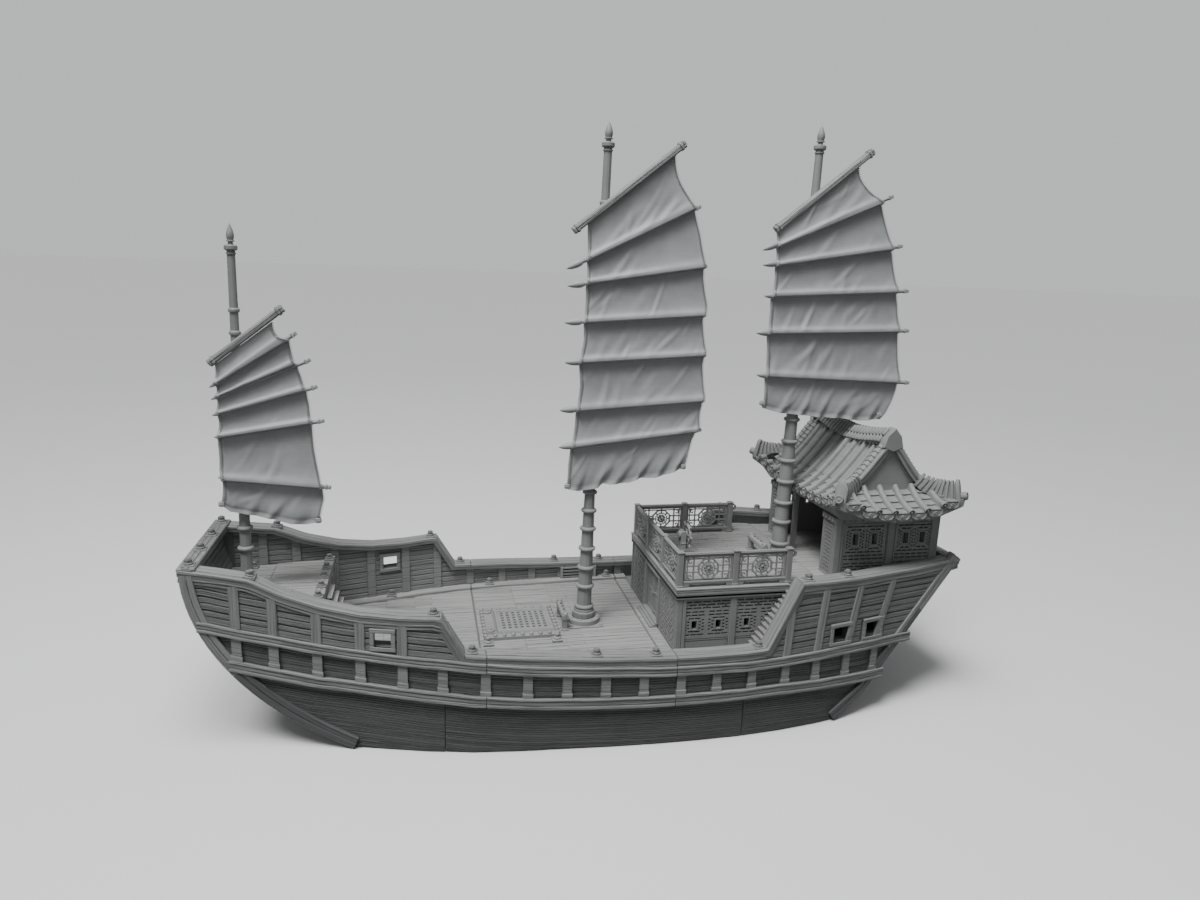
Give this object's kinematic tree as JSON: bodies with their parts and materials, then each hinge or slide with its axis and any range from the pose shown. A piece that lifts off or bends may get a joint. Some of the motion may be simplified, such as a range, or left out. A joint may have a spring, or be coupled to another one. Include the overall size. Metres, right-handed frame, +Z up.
{
  "type": "chinese junk model ship",
  "caption": "Tabletop model of a Chinese junk with battened sails on turning masts, open decks, castle with double door, stern cabin with tiled roof.",
  "frame": {"origin": "middle of the flat hull bottom, on the surface that the model stands on", "axes": "+X towards the bow, +Y to port, +Z up the masts"},
  "size_m": [0.5966, 0.2182, 0.4587],
  "materials": {
    "hull_plastic": "matte, layered print",
    "deck_plastic": "matte, layered print",
    "mast_plastic": "matte, layered print",
    "sail_plastic": "matte, layered print",
    "roof_plastic": "matte, layered print",
    "trim_plastic": "matte, layered print"
  },
  "bodies": {
    "hull": {"lower_hull_bow": "hull_plastic", "lower_hull_mid": "hull_plastic", "lower_hull_stern": "hull_plastic", "upper_hull_bow": "hull_plastic", "upper_hull_mid": "hull_plastic", "upper_hull_stern": "hull_plastic", "stern_bulwark": "hull_plastic", "foredeck": "deck_plastic", "foredeck_steps": "deck_plastic", "castle_stairs_port": "deck_plastic", "castle_stairs_starboard": "deck_plastic", "quarterdeck": "deck_plastic", "cabin_roof": "roof_plastic", "hatch_coaming": "trim_plastic", "hatch_grating": "trim_plastic", "hatch_bollard_fore": "trim_plastic", "hatch_bollard_aft": "trim_plastic", "main_mast_step": "trim_plastic", "main_fife_rail": "trim_plastic", "mizzen_fife_rail": "trim_plastic", "castle_front_wall": "trim_plastic", "castle_side_wall_port": "trim_plastic", "castle_side_wall_starboard": "trim_plastic", "railing_front": "trim_plastic", "railing_port": "trim_plastic", "railing_starboard": "trim_plastic", "helm_stand": "trim_plastic", "cabin_side_wall_port": "trim_plastic", "cabin_side_wall_starboard": "trim_plastic", "cabin_pier_port": "trim_plastic", "cabin_pier_starboard": "trim_plastic", "cabin_aft_wall": "trim_plastic", "cabin_door_post": "trim_plastic"},
    "fore_mast": {"fore_mast": "mast_plastic", "fore_sail": "sail_plastic", "fore_yard": "mast_plastic"},
    "main_mast": {"main_mast": "mast_plastic", "main_sail": "sail_plastic", "main_yard": "mast_plastic"},
    "mizzen_mast": {"mizzen_mast": "mast_plastic", "mizzen_sail": "sail_plastic", "mizzen_yard": "mast_plastic"},
    "castle_door_port": {"castle_door_port": "trim_plastic"},
    "castle_door_starboard": {"castle_door_starboard": "trim_plastic"},
    "helm_wheel": {"helm_wheel": "trim_plastic"}
  },
  "joints": [
    {"name": "fore_mast_swing", "type": "hinge", "parent": "hull", "child": "fore_mast", "pos_m": [0.2654, 0, 0.0963], "axis": [-0.0087, 0, 1], "range_deg": [-75, 75]},
    {"name": "main_mast_swing", "type": "hinge", "parent": "hull", "child": "main_mast", "pos_m": [0.0035, 0, 0.0558], "axis": [-0.0192, 0, 0.9998], "range_deg": [-75, 75]},
    {"name": "mizzen_mast_swing", "type": "hinge", "parent": "hull", "child": "mizzen_mast", "pos_m": [-0.1684, 0, 0.1058], "axis": [-0.0175, 0, 0.9998], "range_deg": [-30, 30]},
    {"name": "castle_door_port_hinge", "type": "hinge", "parent": "hull", "child": "castle_door_port", "pos_m": [-0.05825, 0.0174, 0.0573], "axis": [0, 0, 1], "range_deg": [0, 95]},
    {"name": "castle_door_starboard_hinge", "type": "hinge", "parent": "hull", "child": "castle_door_starboard", "pos_m": [-0.05825, -0.0174, 0.0573], "axis": [0, 0, 1], "range_deg": [-95, 0]},
    {"name": "helm_wheel_spin", "type": "hinge", "parent": "hull", "child": "helm_wheel", "pos_m": [-0.0825, 0, 0.1265], "axis": [1, 0, 0], "continuous": true}
  ]
}
